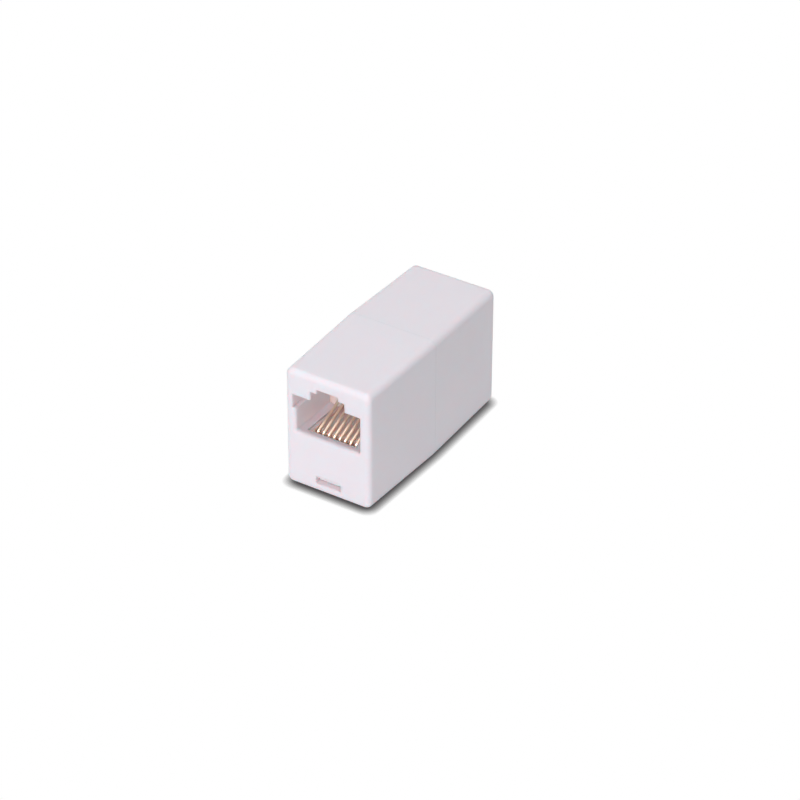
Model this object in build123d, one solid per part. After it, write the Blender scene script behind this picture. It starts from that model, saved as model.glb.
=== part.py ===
from build123d import *
import math
import os

# An inline coupler for two modular plugs. Sizes are in millimetres.
# The case lies along Y with its front face towards -Y, and z = 0 is the lowest line of its underside.
# Depths are counted back from the front face. The rear half is the front half turned end for end.

# Case: two half shells that meet at a seam at mid length, where the case is fattest
length = 37.4
seam_width = 16.5
seam_height = 22.0
side_draft = 0.4
top_draft = 0.3
wall = 1.4
end_wall = 1.6
edge_radius = 1.2
face_radius = 0.95
seam_chamfer = 0.02

# Seam lip: on half of the rim, so that each shell's lip enters the other shell's rebate
lip_length = 0.8
lip_thickness = 0.6
lip_root = 0.4
lip_break = 0.3
lip_clearance = 0.1

# Plug socket: opening, two latch steps above it and a key notch beside it
socket_width = 11.9
socket_height = 6.75
socket_depth = 9.7
socket_corner = 0.3
mouth_radius = 0.5
rim_radius = 0.2
latch_width = 6.4
latch_rise = 1.6
latch_stop = 1.1
tab_width = 4.0
tab_rise = 0.77
catch_thickness = 1.3
top_wall = 2.16
key_width = 0.6
key_height = 2.5
key_stop = 1.7
floor_thickness = 1.15
well_width = 9.3

# Window low in each end face, which holds the end of the insert's tongue
window_width = 4.7
window_height = 1.3
window_lift = 1.5
tongue_setback = 1.2
tongue_gap = 0.1

# Contacts: eight spring wires bent back in a hairpin behind the mouth
contact_count = 8
contact_pitch = 1.02
wire_diameter = 0.46
wire_gap = 0.04
hairpin_depth = 3.25
hairpin_drop = 1.15
hairpin_radius = 0.55
hairpin_clearance = 1.05
contact_slope = 23.0
tip_entry = 0.95
pin_setback = 2.3
pin_row_gap = 2.3
pin_bend_radius = 0.6
pin_tail = 1.0

# Insert: railed tray inside the hairpins, comb for the wire tips, base on the board
insert_gap = 0.05
fit_gap = 0.15
tray_gap = 0.1
plate_drop = 0.65
rail_drop = 0.2
rail_width = 0.55
bed_setback = 0.8
comb_back = 0.65
comb_slot = 0.62
comb_slot_rise = 0.15
tip_gap = 0.3
base_margin = 1.0
leg_thickness = 1.1
peg_diameter = 1.4
peg_clearance = 0.05
peg_ledge_gap = 0.1
peg_tail = 0.3

# Circuit board on ledges along the side walls, and its solder joints
board_thickness = 1.6
tail_clearance = 0.2
board_gap = 0.2
ledge_width = 0.5
pin_hole = 0.8
solder_pad = 1.3
solder_tip = 0.7
solder_height = 0.8

# How near an edge lies to a face that it counts as part of
touching = 0.001

# Places worked out from the sizes above
front = -length / 2
half = length / 2
middle_z = seam_height / 2
face_bottom = top_draft
face_top = seam_height - top_draft
tab_top = face_top - top_wall
latch_top = tab_top - tab_rise
socket_top = latch_top - latch_rise
socket_floor = socket_top - socket_height
key_bottom = socket_top - key_height
floor_under = socket_floor - floor_thickness
window_bottom = face_bottom + window_lift
window_top = window_bottom + window_height
latch_depth = socket_depth - latch_stop
key_depth = socket_depth - key_stop
board_bottom = face_bottom + wall + tail_clearance + pin_tail
board_top = board_bottom + board_thickness
insert_front = socket_depth + insert_gap
board_start = insert_front + leg_thickness + board_gap
wire_radius = wire_diameter / 2
hairpin_z = socket_floor - hairpin_drop
contact_low_z = hairpin_z - hairpin_radius
slope = math.radians(contact_slope)
well_start = hairpin_depth - hairpin_radius - wire_radius - hairpin_clearance
contact_tip_depth = insert_front + tip_entry
pin_row_depth = insert_front + pin_setback
corner_depth = hairpin_depth - hairpin_radius / math.tan(slope / 2)
contact_tip_z = contact_low_z + (contact_tip_depth - corner_depth) * math.tan(slope)
nose_radius = hairpin_radius - wire_radius - wire_gap
tray_top = hairpin_z + nose_radius
plate_top = socket_floor - plate_drop
rail_start = max(well_start, end_wall) + tray_gap
rail_top = socket_floor - rail_drop
comb_end = contact_tip_depth + tip_gap + comb_back
base_end = pin_row_depth + pin_row_gap + base_margin


def block(x_range, depth_range, z_range):
    """Box between two values on each axis, with depth counted back from the front face."""
    sizes = [high - low for low, high in (x_range, depth_range, z_range)]
    box = Box(*sizes, align=(Align.MIN, Align.MIN, Align.MIN))
    return Pos(x_range[0], front + depth_range[0], z_range[0]) * box


def centred(width):
    """Range of the given width about the middle of the case."""
    return (-width / 2, width / 2)


def case_size(depth, margin):
    """Width and height of the case at a depth, less a margin all round."""
    narrowing = 1 - depth / half
    width = seam_width - 2 * side_draft * narrowing - 2 * margin
    height = seam_height - 2 * top_draft * narrowing - 2 * margin
    return width, height


def tapered_outline(start, stop, sizes):
    """Outline along the case between two depths, as wide as the two sizes, about the middle."""
    near, far = front + start, front + stop
    near_half, far_half = (size / 2 for size in sizes)
    return Polygon((near, -near_half), (far, -far_half), (far, far_half), (near, near_half), align=None)


def drafted_block(start, stop, margin):
    """Stretch of the tapering case between two depths, less a margin all round."""
    widths, heights = zip(case_size(start, margin), case_size(stop, margin))
    plan = extrude(Plane.YX * tapered_outline(start, stop, widths), seam_height, both=True)
    profile = extrude(Plane.YZ * tapered_outline(start, stop, heights), seam_width, both=True)
    return plan & Pos(0, 0, middle_z) * profile


def contact_x(number):
    """Place across the socket of a contact, numbered from 1."""
    return (number - (contact_count + 1) / 2) * contact_pitch


def pin_depth(number):
    """Depth of a contact's pin: odd and even contacts are in two rows."""
    return pin_row_depth + pin_row_gap * (1 - number % 2)


def contact_wire(number, diameter):
    """Round wire along a contact's path: tip, hairpin, low run, bend and pin."""
    def point(depth, z):
        return (contact_x(number), front + depth, z)

    path = FilletPolyline(
        point(contact_tip_depth, contact_tip_z),
        point(corner_depth, contact_low_z),
        point(pin_depth(number), contact_low_z),
        point(pin_depth(number), board_bottom - pin_tail),
        radius=[hairpin_radius, pin_bend_radius],
    )
    return sweep(Plane(path @ 0, z_dir=path % 0) * Circle(diameter / 2), path)


def rim_ring(start, stop, inside, outside):
    """Ring in the shell's wall near the seam, from one offset off the chamber to another."""
    width, height = case_size(half, wall)
    plane = Plane((0, start, middle_z), x_dir=(1, 0, 0), z_dir=(0, 1, 0))
    outer = Rectangle(width + 2 * outside, height + 2 * outside)
    inner = Rectangle(width + 2 * inside, height + 2 * inside)
    return extrude(plane * (outer - inner), stop - start)


def make_outer_shell():
    """Solid front half of the case with its rounded edges."""
    shell = drafted_block(0, half, 0)
    long_edges = [edge for edge in shell.edges() if abs((edge % 0.5).Y) > 0.9]
    shell = fillet(long_edges, edge_radius)
    shell = fillet(shell.faces().sort_by(Axis.Y)[0].edges(), face_radius)
    return chamfer(shell.faces().sort_by(Axis.Y)[-1].edges(), seam_chamfer)


def make_chamber():
    """Hollow of a shell: full height behind the socket, and below the socket's floor in front."""
    lower = drafted_block(end_wall, half, wall)
    lower &= block(centred(2 * seam_width), (0, half), (0, floor_under))
    chamber = drafted_block(socket_depth, half, wall) + lower
    ledge_inside = board_width() / 2 - ledge_width
    for side in (-1, 1):
        ledge_range = sorted((side * ledge_inside, side * seam_width))
        chamber -= block(ledge_range, (board_start, half), (0, board_bottom))
    return chamber


def make_opening():
    """Opening for the plug's body, with its lower corners rounded."""
    opening = block(centred(socket_width), (0, socket_depth), (socket_floor, socket_top))
    return fillet(opening.edges().filter_by(Axis.Y).group_by(Axis.Z)[0], socket_corner)


def make_notches():
    """What the socket has beside the opening: two steps for the plug's latch, and the key notch."""
    notches = block(centred(latch_width), (0, latch_depth), (socket_top, latch_top))
    notches += block(centred(tab_width), (0, latch_depth), (latch_top, tab_top))
    notches += block(centred(latch_width), (catch_thickness, latch_depth), (socket_top, tab_top))
    key_range = (-socket_width / 2 - key_width, -socket_width / 2)
    return notches + block(key_range, (0, key_depth), (key_bottom, socket_top))


def front_edges(shell, width, z_range):
    """Edges in the front face whose middles lie in the given width and range of heights, ends included."""
    def is_inside(edge):
        box = edge.bounding_box()
        flat = max(abs(box.min.Y - front), abs(box.max.Y - front)) < touching
        middle = edge.center()
        across = abs(middle.X) < width / 2 + touching
        return flat and across and z_range[0] - touching < middle.Z < z_range[1] + touching

    return [edge for edge in shell.edges() if is_inside(edge)]


def make_shell():
    """Front half shell."""
    shell = make_outer_shell() - make_chamber() - make_opening()
    mouth = front_edges(shell, socket_width, (socket_floor, socket_top - socket_corner))
    shell = fillet(mouth, mouth_radius)
    shell -= make_notches()
    shell -= block(centred(window_width), (0, end_wall), (window_bottom, window_top))
    shell -= block(centred(well_width), (well_start, socket_depth), (floor_under, socket_floor))
    rims = front_edges(shell, socket_width + 2 * key_width, (key_bottom, tab_top))
    rims += front_edges(shell, window_width, (window_bottom, window_top))
    shell = fillet(rims, rim_radius)
    reach = 2 * seam_width
    lip = rim_ring(-lip_root, lip_length, 0, lip_thickness)
    lip &= block((-reach, -lip_break), (0, length), (-reach, reach))
    rebate = rim_ring(-lip_length - lip_clearance, 0, -lip_clearance, lip_thickness + lip_clearance)
    rebate &= block((lip_break - lip_clearance, reach), (0, length), (-reach, reach))
    return shell + lip - rebate


def board_width():
    """Width of the board: it clears the chamber where the chamber is narrowest beside it."""
    return case_size(board_start, wall)[0] - 2 * board_gap


def peg_places():
    """Places across and along the case of the insert's two pegs."""
    x = board_width() / 2 - ledge_width - peg_ledge_gap - peg_diameter / 2
    depth = pin_row_depth + pin_row_gap / 2
    return [(-x, front + depth), (x, front + depth)]


def slot_range(number):
    """Range across the socket of a contact's slot in the comb."""
    return (contact_x(number) - comb_slot / 2, contact_x(number) + comb_slot / 2)


def make_tray():
    """Tray inside the hairpins: round nose, plate that the wires rise out of, and a rail on each side."""
    width = well_width - 2 * tray_gap
    tray = Pos(0, front + hairpin_depth, hairpin_z) * Cylinder(nose_radius, width, rotation=(0, 90, 0))
    tray += block(centred(width), (hairpin_depth, insert_front), (hairpin_z - nose_radius, plate_top))
    tray += block(centred(width), (hairpin_depth + bed_setback, insert_front), (contact_low_z, hairpin_z))
    for side in (-1, 1):
        rail_range = sorted((side * width / 2, side * (width / 2 - rail_width)))
        tray += block(rail_range, (rail_start, insert_front), (hairpin_z - nose_radius, rail_top))
    return tray


def make_insert():
    """Front contact block: base, comb, tray, tongue and pegs."""
    width, height = case_size(socket_depth, wall)
    body_range = centred(width - 2 * fit_gap)
    roof = middle_z + height / 2 - fit_gap
    insert = block(body_range, (insert_front, base_end), (board_top, tray_top))
    insert += block(body_range, (insert_front, comb_end), (tray_top, roof))
    slot_top = contact_tip_z + wire_radius / math.cos(slope) + comb_slot_rise
    slot_end = contact_tip_depth + tip_gap
    for number in range(1, contact_count + 1):
        insert -= block(slot_range(number), (insert_front, slot_end), (plate_top, slot_top))
    insert += make_tray()

    tongue_range = centred(window_width - 2 * tongue_gap)
    tongue_bottom = window_bottom + tongue_gap
    leg_end = insert_front + leg_thickness
    insert += block(tongue_range, (insert_front, leg_end), (tongue_bottom, board_top))
    insert += block(tongue_range, (tongue_setback, insert_front), (tongue_bottom, window_top - tongue_gap))

    peg_length = board_thickness + peg_tail
    for x, y in peg_places():
        peg = Cylinder(peg_diameter / 2, peg_length, align=(Align.CENTER, Align.CENTER, Align.MAX))
        insert += Pos(x, y, board_top) * peg
    for number in range(1, contact_count + 1):
        insert -= contact_wire(number, wire_diameter + 2 * wire_gap)
    return insert


def both_ends(places):
    """Places of the front half followed by the same places turned end for end."""
    return places + [(-x, -y) for x, y in places]


def pin_places():
    """Places across and along the case of the front contacts' pins."""
    return [(contact_x(number), front + pin_depth(number)) for number in range(1, contact_count + 1)]


def make_board():
    """Circuit board that joins the pins of both ends, with holes for pins and pegs."""
    board = block(centred(board_width()), (board_start, length - board_start), (board_bottom, board_top))
    low_centre = (Align.CENTER, Align.CENTER, Align.MIN)
    for x, y in both_ends(pin_places()):
        board -= Pos(x, y, board_bottom) * Cylinder(pin_hole / 2, board_thickness, align=low_centre)
    for x, y in both_ends(peg_places()):
        hole_radius = peg_diameter / 2 + peg_clearance
        board -= Pos(x, y, board_bottom) * Cylinder(hole_radius, board_thickness, align=low_centre)
    return board


def make_solder():
    """Front solder joints: each fills its hole and runs down its pin in a cone."""
    low_centre = (Align.CENTER, Align.CENTER, Align.MIN)
    joints = []
    for x, y in pin_places():
        joint = Cylinder(pin_hole / 2, board_thickness, align=low_centre)
        cone = Cone(solder_tip / 2, solder_pad / 2, solder_height, align=low_centre)
        joint += Pos(0, 0, -solder_height) * cone
        pin_length = board_thickness + solder_height
        joint -= Pos(0, 0, -solder_height) * Cylinder(wire_radius, pin_length, align=low_centre)
        joints.append(Pos(x, y, board_bottom) * joint)
    return Compound(children=joints)


def write_pair(name, shape):
    """Writes a front piece, and the same piece turned end for end as the rear one."""
    export_step(shape, f"parts/front_{name}.step")
    export_step(shape.rotate(Axis.Z, 180), f"parts/rear_{name}.step")


os.makedirs("parts", exist_ok=True)
write_pair("shell", make_shell())
write_pair("insert", make_insert())
for number in range(1, contact_count + 1):
    write_pair(f"contact_{number}", contact_wire(number, wire_diameter))
write_pair("solder", make_solder())
export_step(make_board(), "parts/circuit_board.step")
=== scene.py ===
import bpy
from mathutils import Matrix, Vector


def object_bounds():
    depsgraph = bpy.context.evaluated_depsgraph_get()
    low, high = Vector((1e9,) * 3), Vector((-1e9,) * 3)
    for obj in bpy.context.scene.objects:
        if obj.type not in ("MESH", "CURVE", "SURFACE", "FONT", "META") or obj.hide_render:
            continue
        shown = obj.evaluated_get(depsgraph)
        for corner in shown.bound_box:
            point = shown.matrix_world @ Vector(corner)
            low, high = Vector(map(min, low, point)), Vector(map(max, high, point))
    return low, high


bl_info = {
    "name": "Inline socket coupler",
    "version": (1, 0, 0),
    "blender": (4, 5, 0),
    "location": "3D View > Sidebar > Coupler",
    "description": "Gives the coupler's pieces their finishes and sets a plain studio around them",
    "category": "Object",
}

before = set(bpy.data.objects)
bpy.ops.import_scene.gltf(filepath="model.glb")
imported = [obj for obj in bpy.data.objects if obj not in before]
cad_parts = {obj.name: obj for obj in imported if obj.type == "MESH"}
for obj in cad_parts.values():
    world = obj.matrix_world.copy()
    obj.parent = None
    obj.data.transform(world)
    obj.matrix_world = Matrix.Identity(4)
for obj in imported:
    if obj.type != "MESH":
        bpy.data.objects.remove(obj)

import math

import bmesh
import bpy
from mathutils import Matrix, Vector

CAD_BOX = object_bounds()
ENDS = ("front", "rear")
CONTACTS = [name for name in sorted(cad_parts) if "_contact_" in name]
MILLIMETRES = 1000.0

# Sizes of the finishes' patterns, in millimetres
CLOUD_SIZE = 9.0
GRAIN_SIZE = 0.3
PATCH_SIZE = 1.4
STREAK_SIZE = 0.09
BLOTCH_SIZE = 3.0
FROST_SIZE = 0.12

# The glass cloth under the resist: closeness and waviness of its threads, and their share of the colour
THREAD_SCALE = 0.55
THREAD_WAVER = 0.6
THREAD_SHARE = 0.6

# Depths of the finishes' patterns, in metres, and how strongly they shade
STREAK_DEPTH = 0.000002
THREAD_DEPTH = 0.00001
FROST_DEPTH = 0.000004
FAINT_BUMP = 0.3
PLASTIC_BUMP = 0.5

# Roughness of the board and its solder, and by how much each roughness varies
RESIST_ROUGHNESS = 0.34
SOLDER_ROUGHNESS = 0.32
PLASTIC_SPREAD = 0.1
RESIST_SPREAD = 0.1
METAL_SPREAD = 0.16

PLASTIC_IOR = 1.5
PLATE_METALLIC = 0.8

# Rays that look for near walls, wires and edges, and for what shades the floor
NEAR_SAMPLES = 8
SHADOW_SAMPLES = 16

# Both inputs and the output of a Mix node, by the kind of value that it mixes
MIX_SOCKETS = {"VECTOR": (4, 5, 1), "RGBA": (6, 7, 2)}

# Lamps, camera and floor: lengths in metres, angles in radians, and the sensor in millimetres
LAMP_DISTANCE = 0.6
FRONT_LAMP_SIZE = 0.35
TOP_LAMP_SIZE = 0.3
TOP_LAMP_RISE = math.radians(93)
SMALL_LAMP_SIZE = 0.08
SMALL_LAMP_RISE = math.radians(58)
SENSOR_WIDTH = 36
CLIP_START = 0.01
FLOOR_REACH = 1.0
FLOOR_CELLS = 4


class Value:
    """A socket's number: Python's operators on it add Math nodes."""

    def __init__(self, nodes, socket):
        self.nodes = nodes
        self.socket = socket

    def maths(self, operation, first, second):
        """Adds a Math node on two numbers, each a socket's or a plain one."""
        return self.nodes.add("Math", {"operation": operation}, {0: first, 1: second})

    def __add__(self, other):
        return self.maths("ADD", self, other)

    def __radd__(self, other):
        return self.maths("ADD", other, self)

    def __sub__(self, other):
        return self.maths("SUBTRACT", self, other)

    def __rsub__(self, other):
        return self.maths("SUBTRACT", other, self)

    def __mul__(self, other):
        return self.maths("MULTIPLY", self, other)

    def __rmul__(self, other):
        return self.maths("MULTIPLY", other, self)

    def __pow__(self, other):
        return self.maths("POWER", self, other)

    def __abs__(self):
        return self.maths("ABSOLUTE", self, 0.0)


class Nodes:
    """The node tree of one material or of the world, filled one node at a time."""

    def __init__(self, owner):
        owner.use_nodes = True
        self.tree = owner.node_tree
        self.tree.nodes.clear()

    def add(self, kind, settings=None, sockets=None, output=0):
        """Adds a node, sets it up, fills or links its sockets and gives one of its outputs."""
        node = self.tree.nodes.new("ShaderNode" + kind)
        for key, value in (settings or {}).items():
            setattr(node, key, value)
        for key, value in (sockets or {}).items():
            if isinstance(value, Value):
                self.tree.links.new(value.socket, node.inputs[key])
            else:
                node.inputs[key].default_value = value
        return Value(self, node.outputs[output] if node.outputs else None)

    def place(self):
        """The point on the surface, in millimetres in the coupler's own frame."""
        point = self.add("TexCoord", output="Object")
        return self.add("VectorMath", {"operation": "SCALE"}, {0: point, "Scale": MILLIMETRES})

    def noise(self, size, detail=2.0):
        """Soft random pattern whose spots are about the given size in millimetres."""
        return self.add("TexNoise", {}, {"Vector": self.place(), "Scale": 1 / size, "Detail": detail})

    def mix(self, kind, factor, first, second):
        """Colour or vector between two others."""
        one, other, output = MIX_SOCKETS[kind]
        return self.add("Mix", {"data_type": kind}, {"Factor": factor, one: first, other: second}, output)

    def blend(self, factor, first, second):
        """Colour between two others, each from a node or written as red, green and blue."""
        return self.mix("RGBA", factor, rgba(first), rgba(second))


def varied(mean, pattern, spread):
    """Number that follows a pattern from half the spread below the mean to half above it."""
    return mean + (pattern - 0.5) * spread


def rgba(colour):
    """A colour with full alpha; a colour from another node stays as it is."""
    return colour if isinstance(colour, Value) else (*colour, 1.0)


def new_finish(name):
    """Empty material and its nodes."""
    material = bpy.data.materials.new(name)
    return material, Nodes(material)


def close_finish(nodes, sockets):
    """Puts a Principled shader at the end of a material's nodes."""
    shader = nodes.add("BsdfPrincipled", {}, sockets)
    nodes.add("OutputMaterial", {}, {"Surface": shader})


def dress(names, material):
    """Gives CAD nodes a finish."""
    for name in names:
        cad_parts[name].material_slots[0].material = material


def clear_of_walls(nodes, look):
    """Mask for the painted bounce light: one on open faces, and less where the shell's own walls are near.
    """
    settings = {"samples": NEAR_SAMPLES, "only_local": True}
    return nodes.add("AmbientOcclusion", settings, {"Distance": look.hollow_reach}, output="AO")


def clear_of_wires(nodes, look):
    """Mask for the painted bounce light and shade near the wires: one on open faces and away from the tray,
    and less where the wires and the tray are near.
    """
    reach = {"Distance": look.hollow_reach}
    clear = nodes.add("AmbientOcclusion", {"samples": NEAR_SAMPLES}, reach, output="AO")
    height = nodes.add("SeparateXYZ", {}, {0: nodes.place()}, output="Z")
    span = look.tray_span * MILLIMETRES
    away = abs(height - look.tray_height * MILLIMETRES)
    near_tray = nodes.add("MapRange", {}, {"Value": away, "From Min": span, "From Max": span / 2})
    return 1 - (1 - clear) * near_tray


def soft_rims(nodes, look):
    """Surface directions that turn gently over the edges at both ends of the coupler."""
    along = nodes.add("SeparateXYZ", {}, {0: nodes.place()}, output="Y")
    start = (CAD_BOX[1].y - look.rim_reach) * MILLIMETRES
    full = start + look.rim_fade * MILLIMETRES
    near_end = nodes.add("MapRange", {}, {"Value": abs(along), "From Min": start, "From Max": full})
    flat = nodes.add("NewGeometry", output="Normal")
    soft = nodes.add("Bevel", {"samples": NEAR_SAMPLES}, {"Radius": look.soft_edge})
    return nodes.mix("VECTOR", near_end, flat, soft)


def moulded_plastic(name, look, painted_bounce_mask):
    """White moulded plastic: cloudy tone, with painted bounce light and shade that warm its hollows, and
    fine texture from the mould.
    """
    material, nodes = new_finish(name)
    cloud = nodes.noise(CLOUD_SIZE)
    grain = nodes.noise(GRAIN_SIZE, detail=3.0)
    outside = nodes.blend(cloud, look.colour, look.shade)
    close_finish(nodes, {
        # Painted bounce light and shade: the hollow colour is laid in where the mask falls below one
        "Base Color": nodes.blend(painted_bounce_mask(nodes, look), look.hollow, outside),
        "Roughness": varied(look.roughness, cloud, PLASTIC_SPREAD),
        "IOR": PLASTIC_IOR,
        "Subsurface Weight": look.glow,
        "Subsurface Radius": look.glow_colour,
        "Subsurface Scale": look.glow_depth,
        "Normal": nodes.add("Bump", {}, {
            "Strength": PLASTIC_BUMP, "Distance": look.grain_depth, "Height": grain,
            "Normal": soft_rims(nodes, look),
        }),
    })
    return material


def gold_plating(look):
    """Gold plate over copper alloy wire, with drawn streaks and warmer patches."""
    material, nodes = new_finish("gold_plating")
    patch = nodes.noise(PATCH_SIZE, detail=3.0)
    streak = nodes.noise(STREAK_SIZE)
    relief = {"Strength": FAINT_BUMP, "Distance": STREAK_DEPTH, "Height": streak}
    close_finish(nodes, {
        "Base Color": nodes.blend(patch, look.gold, look.thin_gold),
        "Metallic": PLATE_METALLIC,
        "Roughness": varied(look.roughness, streak, METAL_SPREAD),
        "Normal": nodes.add("Bump", {}, relief),
    })
    return material


def solder_resist(look):
    """Green resist over glass cloth, whose weave shows through."""
    material, nodes = new_finish("solder_resist")
    sockets = {"Vector": nodes.place(), "Scale": THREAD_SCALE, "Distortion": THREAD_WAVER}
    warp, weft = (
        nodes.add("TexWave", {"wave_type": "BANDS", "bands_direction": axis}, sockets, output="Fac")
        for axis in ("X", "Y"))
    weave = warp * weft
    thin = weave * THREAD_SHARE + nodes.noise(BLOTCH_SIZE) * (1 - THREAD_SHARE)
    relief = {"Strength": FAINT_BUMP, "Distance": THREAD_DEPTH, "Height": weave}
    close_finish(nodes, {
        "Base Color": nodes.blend(thin, look.resist, look.resist_thin),
        "Roughness": varied(RESIST_ROUGHNESS, weave, RESIST_SPREAD),
        "Normal": nodes.add("Bump", {}, relief),
    })
    return material


def tin_solder(look):
    """Tin solder, bright with a faint frosted grain."""
    material, nodes = new_finish("tin_solder")
    frost = nodes.noise(FROST_SIZE, detail=3.0)
    relief = {"Strength": FAINT_BUMP, "Distance": FROST_DEPTH, "Height": frost}
    close_finish(nodes, {
        "Base Color": nodes.blend(frost, look.tin, look.tin_dull),
        "Metallic": 1.0,
        "Roughness": varied(SOLDER_ROUGHNESS, frost, METAL_SPREAD),
        "Normal": nodes.add("Bump", {}, relief),
    })
    return material


def seen_directly(nodes):
    """One where a ray comes from the camera or by way of gloss or glass, and nought for soft light."""
    rays = [nodes.add("LightPath", output=name) for name in
            ("Is Camera Ray", "Is Glossy Ray", "Is Transmission Ray")]
    either = rays[0].maths("MAXIMUM", rays[0], rays[1])
    return either.maths("MAXIMUM", either, rays[2])


class PlasticLook:
    """What the looks of both moulded plastics have in common."""

    roughness: bpy.props.FloatProperty(
        name="Roughness", description="Mean roughness of the moulded surface", subtype="FACTOR",
        min=0, max=1, default=0.42)
    grain_depth: bpy.props.FloatProperty(
        name="Grain depth", description="Depth of the mould's fine texture", unit="LENGTH",
        precision=7, default=0.000004)
    soft_edge: bpy.props.FloatProperty(
        name="Soft edge", description="Radius to which the edges near both ends look rounded", unit="LENGTH",
        precision=5, default=0.0009)
    rim_reach: bpy.props.FloatProperty(
        name="Rim reach", description="How far from each end the soft edges begin", unit="LENGTH",
        precision=5, default=0.0014)
    rim_fade: bpy.props.FloatProperty(
        name="Rim fade", description="Distance over which the soft edges come in", unit="LENGTH",
        precision=5, default=0.0005)
    glow: bpy.props.FloatProperty(
        name="Glow", description="Share of light that spreads inside the plastic", subtype="FACTOR",
        min=0, max=1, default=1.0)
    glow_colour: bpy.props.FloatVectorProperty(
        name="Glow spread", description="How far red, green and blue light spread, against the glow depth",
        default=(1.0, 0.45, 0.42))
    glow_depth: bpy.props.FloatProperty(
        name="Glow depth", description="How far light spreads inside the plastic", unit="LENGTH",
        precision=5, default=0.0003)


class ShellLook(PlasticLook, bpy.types.PropertyGroup):
    """Look of the half shells' plastic."""

    colour: bpy.props.FloatVectorProperty(
        name="Colour", description="Main colour of the plastic",
        subtype="COLOR", min=0, max=1, default=(0.80, 0.762, 0.814))
    shade: bpy.props.FloatVectorProperty(
        name="Cloud colour", description="Colour of the faint cloudy patches",
        subtype="COLOR", min=0, max=1, default=(0.78, 0.746, 0.799))
    # Painted bounce light: a lighter, rosier colour laid into the hollows, where light reflected between the
    # walls tints the plastic
    hollow: bpy.props.FloatVectorProperty(
        name="Hollow colour", description="Colour where walls are near on all sides",
        subtype="COLOR", min=0, max=1, default=(0.98, 0.83, 0.85))
    hollow_reach: bpy.props.FloatProperty(
        name="Hollow reach", description="How near the walls of a hollow are", unit="LENGTH",
        precision=4, default=0.008)


class InsertLook(PlasticLook, bpy.types.PropertyGroup):
    """Look of the inserts' plastic."""

    colour: bpy.props.FloatVectorProperty(
        name="Colour", description="Main colour of the plastic",
        subtype="COLOR", min=0, max=1, default=(0.80, 0.78, 0.81))
    shade: bpy.props.FloatVectorProperty(
        name="Cloud colour", description="Colour of the faint cloudy patches",
        subtype="COLOR", min=0, max=1, default=(0.82, 0.785, 0.805))
    # Painted bounce light and shade: a darker tan laid near the wires and in the tray, for the shade between
    # the wires and the gold light they reflect
    hollow: bpy.props.FloatVectorProperty(
        name="Hollow colour", description="Colour close to the wires and in the tray",
        subtype="COLOR", min=0, max=1, default=(0.80, 0.56, 0.48))
    hollow_reach: bpy.props.FloatProperty(
        name="Hollow reach", description="How near the wires or walls around a hollow are", unit="LENGTH",
        precision=4, default=0.0028)
    # Middle height and half span of the band in which the painted bounce light and shade near the wires is
    # laid
    tray_height: bpy.props.FloatProperty(
        name="Tray height", description="Height about which the wires warm the plastic", unit="LENGTH",
        precision=4, default=0.011)
    tray_span: bpy.props.FloatProperty(
        name="Tray span", description="Distance above and below it that they warm", unit="LENGTH",
        precision=4, default=0.0046)


class MetalLook(bpy.types.PropertyGroup):
    """Looks of the contacts, the board and its solder."""

    gold: bpy.props.FloatVectorProperty(
        name="Gold", description="Colour of the gold plate", subtype="COLOR", min=0, max=1,
        default=(1.0, 0.86, 0.68))
    thin_gold: bpy.props.FloatVectorProperty(
        name="Thin gold", description="Colour where the plate is thin", subtype="COLOR", min=0, max=1,
        default=(1.0, 0.78, 0.60))
    roughness: bpy.props.FloatProperty(
        name="Roughness", description="Mean roughness of the wire", subtype="FACTOR", min=0, max=1,
        default=0.36)
    resist: bpy.props.FloatVectorProperty(
        name="Resist", description="Colour of the board's solder resist", subtype="COLOR", min=0, max=1,
        default=(0.03, 0.16, 0.07))
    resist_thin: bpy.props.FloatVectorProperty(
        name="Thin resist", description="Colour of the resist over the cloth's threads", subtype="COLOR",
        min=0, max=1, default=(0.05, 0.22, 0.09))
    tin: bpy.props.FloatVectorProperty(
        name="Solder", description="Colour of bright solder", subtype="COLOR", min=0, max=1,
        default=(0.78, 0.79, 0.80))
    tin_dull: bpy.props.FloatVectorProperty(
        name="Dull solder", description="Colour of frosted solder", subtype="COLOR", min=0, max=1,
        default=(0.62, 0.63, 0.65))


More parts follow.
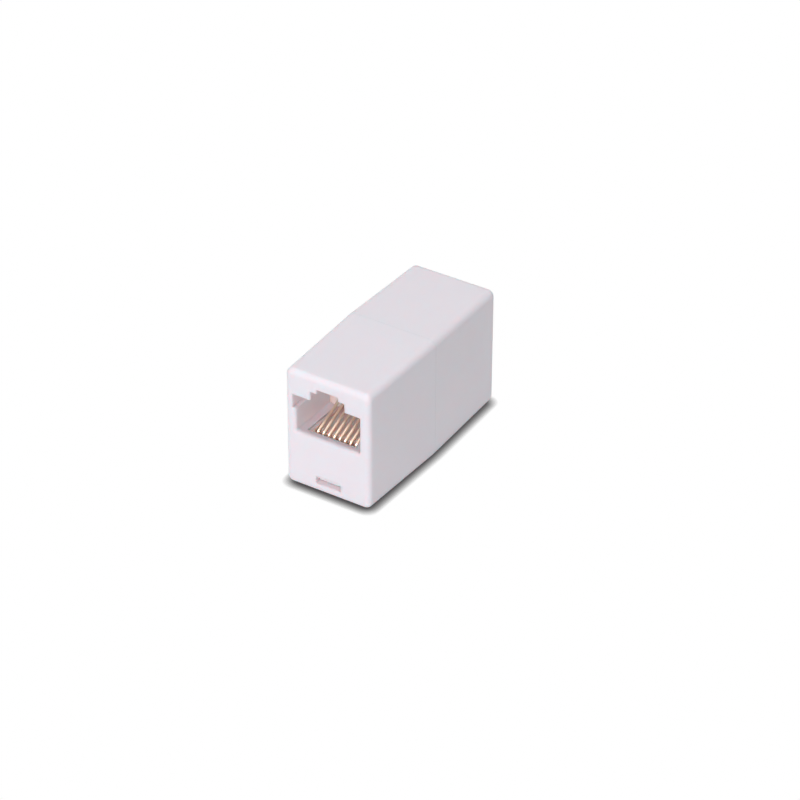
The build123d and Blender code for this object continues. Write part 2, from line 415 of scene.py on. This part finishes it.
class StudioLook(bpy.types.PropertyGroup):
    """Camera, lights and floor."""

    azimuth: bpy.props.FloatProperty(
        name="Azimuth", description="Turn of the camera to the right of the front", unit="ROTATION",
        default=math.radians(32.541))
    elevation: bpy.props.FloatProperty(
        name="Elevation", description="Height of the camera above the horizon", unit="ROTATION",
        default=math.radians(33.869))
    roll: bpy.props.FloatProperty(
        name="Roll", description="Turn of the camera about its own line of sight", unit="ROTATION",
        default=math.radians(0.178))
    distance: bpy.props.FloatProperty(
        name="Distance", description="From the aim point to the camera", unit="LENGTH", default=0.5459)
    aim: bpy.props.FloatVectorProperty(
        name="Aim point", description="Point in the middle of the picture", subtype="TRANSLATION",
        default=(-0.000809, 0.003680, 0.005571))
    lens: bpy.props.FloatProperty(
        name="Lens", description="Focal length on a 36 mm wide sensor", unit="CAMERA", default=151.85)
    sky: bpy.props.FloatProperty(
        name="Sky level", description="Level of the even light from all round", min=0, default=0.314)
    front_level: bpy.props.FloatProperty(
        name="Front lamp level", description="Level of the front lamp on a surface that faces it", min=0,
        default=0.628)
    front_turn: bpy.props.FloatProperty(
        name="Front lamp turn", description="Turn of the front lamp to the right of the front",
        unit="ROTATION", default=math.radians(11.5))
    front_rise: bpy.props.FloatProperty(
        name="Front lamp rise", description="Height of the front lamp above the horizon", unit="ROTATION",
        default=math.radians(17))
    top_level: bpy.props.FloatProperty(
        name="Top lamp level", description="Level of the top lamp on a surface that faces it", min=0,
        default=0.474)
    small_level: bpy.props.FloatProperty(
        name="Small lamp level", description="Level of the small lamp that falls on the wires alone", min=0,
        default=1.35)
    floor: bpy.props.FloatVectorProperty(
        name="Floor colour", description="Colour of the floor", subtype="COLOR", min=0, max=1,
        default=(0.8, 0.8, 0.8))
    shadow_reach: bpy.props.FloatProperty(
        name="Shadow reach", description="How far the soft shadow spreads over the floor", unit="LENGTH",
        precision=4, default=0.0016)
    shadow_depth: bpy.props.FloatProperty(
        name="Shadow depth", description="Power that darkens the soft shadow near the coupler", min=1,
        default=2.5)
    shadow: bpy.props.FloatVectorProperty(
        name="Shadow colour", description="Colour of the floor right under the coupler", subtype="COLOR",
        min=0, max=1, default=(0.06, 0.055, 0.058))


class CouplerLook(bpy.types.PropertyGroup):
    """All that a user can change."""

    shell: bpy.props.PointerProperty(type=ShellLook, name="Shells", description="Look of both half shells")
    insert: bpy.props.PointerProperty(type=InsertLook, name="Inserts", description="Look of both inserts")
    metal: bpy.props.PointerProperty(type=MetalLook, name="Metal and board", description="Colours inside")
    studio: bpy.props.PointerProperty(type=StudioLook, name="Studio", description="Camera, lights and floor")


class COUPLER_OT_shells(bpy.types.Operator):
    """Finishes both half shells in satin white plastic"""

    bl_idname = "coupler.shells"
    bl_label = "Shells"

    def execute(self, context):
        finish = moulded_plastic("white_shell_plastic", context.scene.coupler.shell, clear_of_walls)
        dress([f"{end}_shell" for end in ENDS], finish)
        return {"FINISHED"}


class COUPLER_OT_inserts(bpy.types.Operator):
    """Finishes both contact inserts in plain white plastic"""

    bl_idname = "coupler.inserts"
    bl_label = "Inserts"

    def execute(self, context):
        finish = moulded_plastic("white_insert_plastic", context.scene.coupler.insert, clear_of_wires)
        dress([f"{end}_insert" for end in ENDS], finish)
        return {"FINISHED"}


class COUPLER_OT_contacts(bpy.types.Operator):
    """Plates the sixteen contact wires with gold"""

    bl_idname = "coupler.contacts"
    bl_label = "Contacts"

    def execute(self, context):
        dress(CONTACTS, gold_plating(context.scene.coupler.metal))
        return {"FINISHED"}


class COUPLER_OT_board(bpy.types.Operator):
    """Finishes the circuit board and its solder joints"""

    bl_idname = "coupler.board"
    bl_label = "Board and solder"

    def execute(self, context):
        look = context.scene.coupler.metal
        dress(["circuit_board"], solder_resist(look))
        dress([f"{end}_solder" for end in ENDS], tin_solder(look))
        return {"FINISHED"}


def direction(turn, rise):
    """Unit vector that points to the right of the front by one angle and above the horizon by another."""
    return Vector((math.sin(turn) * math.cos(rise), -math.cos(turn) * math.cos(rise), math.sin(rise)))


def add_camera(look):
    """Camera at the photograph's viewing angle."""
    back = direction(look.azimuth, look.elevation)
    right = Vector((math.cos(look.azimuth), math.sin(look.azimuth), 0))
    right = Matrix.Rotation(look.roll, 3, back) @ right
    data = bpy.data.cameras.new("camera")
    data.sensor_width = SENSOR_WIDTH
    data.lens = look.lens
    data.clip_start = CLIP_START
    camera = bpy.data.objects.new("camera", data)
    axes = Matrix((right, back.cross(right), back)).transposed()
    camera.matrix_world = Matrix.Translation(Vector(look.aim) + back * look.distance) @ axes.to_4x4()
    bpy.context.scene.collection.objects.link(camera)
    bpy.context.scene.camera = camera


def add_lamp(name, back, size, level):
    """Square soft lamp aimed at the coupler; its level is what a white surface that faces it shows."""
    data = bpy.data.lights.new(name, "AREA")
    data.size = size
    data.energy = level * (math.pi * LAMP_DISTANCE) ** 2
    lamp = bpy.data.objects.new(name, data)
    middle = (CAD_BOX[0] + CAD_BOX[1]) / 2
    turn = back.to_track_quat("Z", "Y").to_matrix().to_4x4()
    lamp.matrix_world = Matrix.Translation(middle + back * LAMP_DISTANCE) @ turn
    bpy.context.scene.collection.objects.link(lamp)
    return lamp


def light_only(lamp, names):
    """Lets a lamp fall on some of the CAD nodes alone."""
    lit = bpy.data.collections.new(lamp.name + "_receivers")
    for name in names:
        lit.objects.link(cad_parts[name])
    lamp.light_linking.receiver_collection = lit


def add_floor(look):
    """Pale floor that shows white, with the coupler's soft shadow on it."""
    mesh = bpy.data.meshes.new("floor")
    shape = bmesh.new()
    bmesh.ops.create_grid(shape, x_segments=FLOOR_CELLS, y_segments=FLOOR_CELLS, size=FLOOR_REACH)
    shape.to_mesh(mesh)
    shape.free()
    floor = bpy.data.objects.new("floor", mesh)
    bpy.context.scene.collection.objects.link(floor)
    material, nodes = new_finish("floor_paper")
    reach = {"Distance": look.shadow_reach}
    open_sky = nodes.add("AmbientOcclusion", {"samples": SHADOW_SAMPLES}, reach, output="AO")
    shadow = nodes.blend(open_sky ** look.shadow_depth, look.shadow, (1, 1, 1))
    white = nodes.add("Emission", {}, {"Color": shadow})
    paper = nodes.add("BsdfDiffuse", {}, {"Color": rgba(look.floor)})
    shown = nodes.add("MixShader", {}, {0: seen_directly(nodes), 1: paper, 2: white})
    nodes.add("OutputMaterial", {}, {"Surface": shown})
    mesh.materials.append(material)


def add_sky(look):
    """Even light from all round, which shows as white."""
    world = bpy.data.worlds.new("studio")
    bpy.context.scene.world = world
    nodes = Nodes(world)
    light = nodes.add("Background", {}, {"Color": (1, 1, 1, 1), "Strength": look.sky})
    white = nodes.add("Background", {}, {"Color": (1, 1, 1, 1), "Strength": 1.0})
    shown = nodes.add("MixShader", {}, {0: seen_directly(nodes), 1: light, 2: white})
    nodes.add("OutputWorld", {}, {"Surface": shown})


class COUPLER_OT_stage(bpy.types.Operator):
    """Sets up the camera, the floor and the soft studio light"""

    bl_idname = "coupler.stage"
    bl_label = "Stage"

    def execute(self, context):
        look = context.scene.coupler.studio
        context.scene.view_settings.view_transform = "Standard"
        add_camera(look)
        add_floor(look)
        add_sky(look)
        towards_front = direction(look.front_turn, look.front_rise)
        front = add_lamp("front_lamp", towards_front, FRONT_LAMP_SIZE, look.front_level)
        front.visible_glossy = False
        add_lamp("top_lamp", direction(0, TOP_LAMP_RISE), TOP_LAMP_SIZE, look.top_level)
        small = add_lamp("small_lamp", direction(0, SMALL_LAMP_RISE), SMALL_LAMP_SIZE, look.small_level)
        light_only(small, CONTACTS)
        return {"FINISHED"}


class COUPLER_PT_sidebar(bpy.types.Panel):
    """Lists the coupler's looks and the steps that apply them"""

    bl_idname = "COUPLER_PT_sidebar"
    bl_label = "Inline coupler"
    bl_space_type = "VIEW_3D"
    bl_region_type = "UI"
    bl_category = "Coupler"

    def draw(self, context):
        look = context.scene.coupler
        for title, group in (("Shells", look.shell), ("Inserts", look.insert),
                             ("Metal and board", look.metal), ("Studio", look.studio)):
            box = self.layout.box()
            box.label(text=title)
            for name in group.bl_rna.properties.keys():
                if name not in ("rna_type", "name"):
                    box.prop(group, name)
        for step in STEPS:
            self.layout.operator(step.bl_idname)


STEPS = (COUPLER_OT_shells, COUPLER_OT_inserts, COUPLER_OT_contacts, COUPLER_OT_board, COUPLER_OT_stage)
CLASSES = (ShellLook, InsertLook, MetalLook, StudioLook, CouplerLook, *STEPS, COUPLER_PT_sidebar)


def register():
    """Makes Blender know the looks, the steps and the panel."""
    for item in CLASSES:
        bpy.utils.register_class(item)
    bpy.types.Scene.coupler = bpy.props.PointerProperty(type=CouplerLook)


def unregister():
    """Takes them out of Blender again."""
    del bpy.types.Scene.coupler
    for item in reversed(CLASSES):
        bpy.utils.unregister_class(item)


def main():
    """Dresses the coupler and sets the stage."""
    register()
    bpy.ops.coupler.shells()
    bpy.ops.coupler.inserts()
    bpy.ops.coupler.contacts()
    bpy.ops.coupler.board()
    bpy.ops.coupler.stage()


if __name__ == "__main__":
    main()
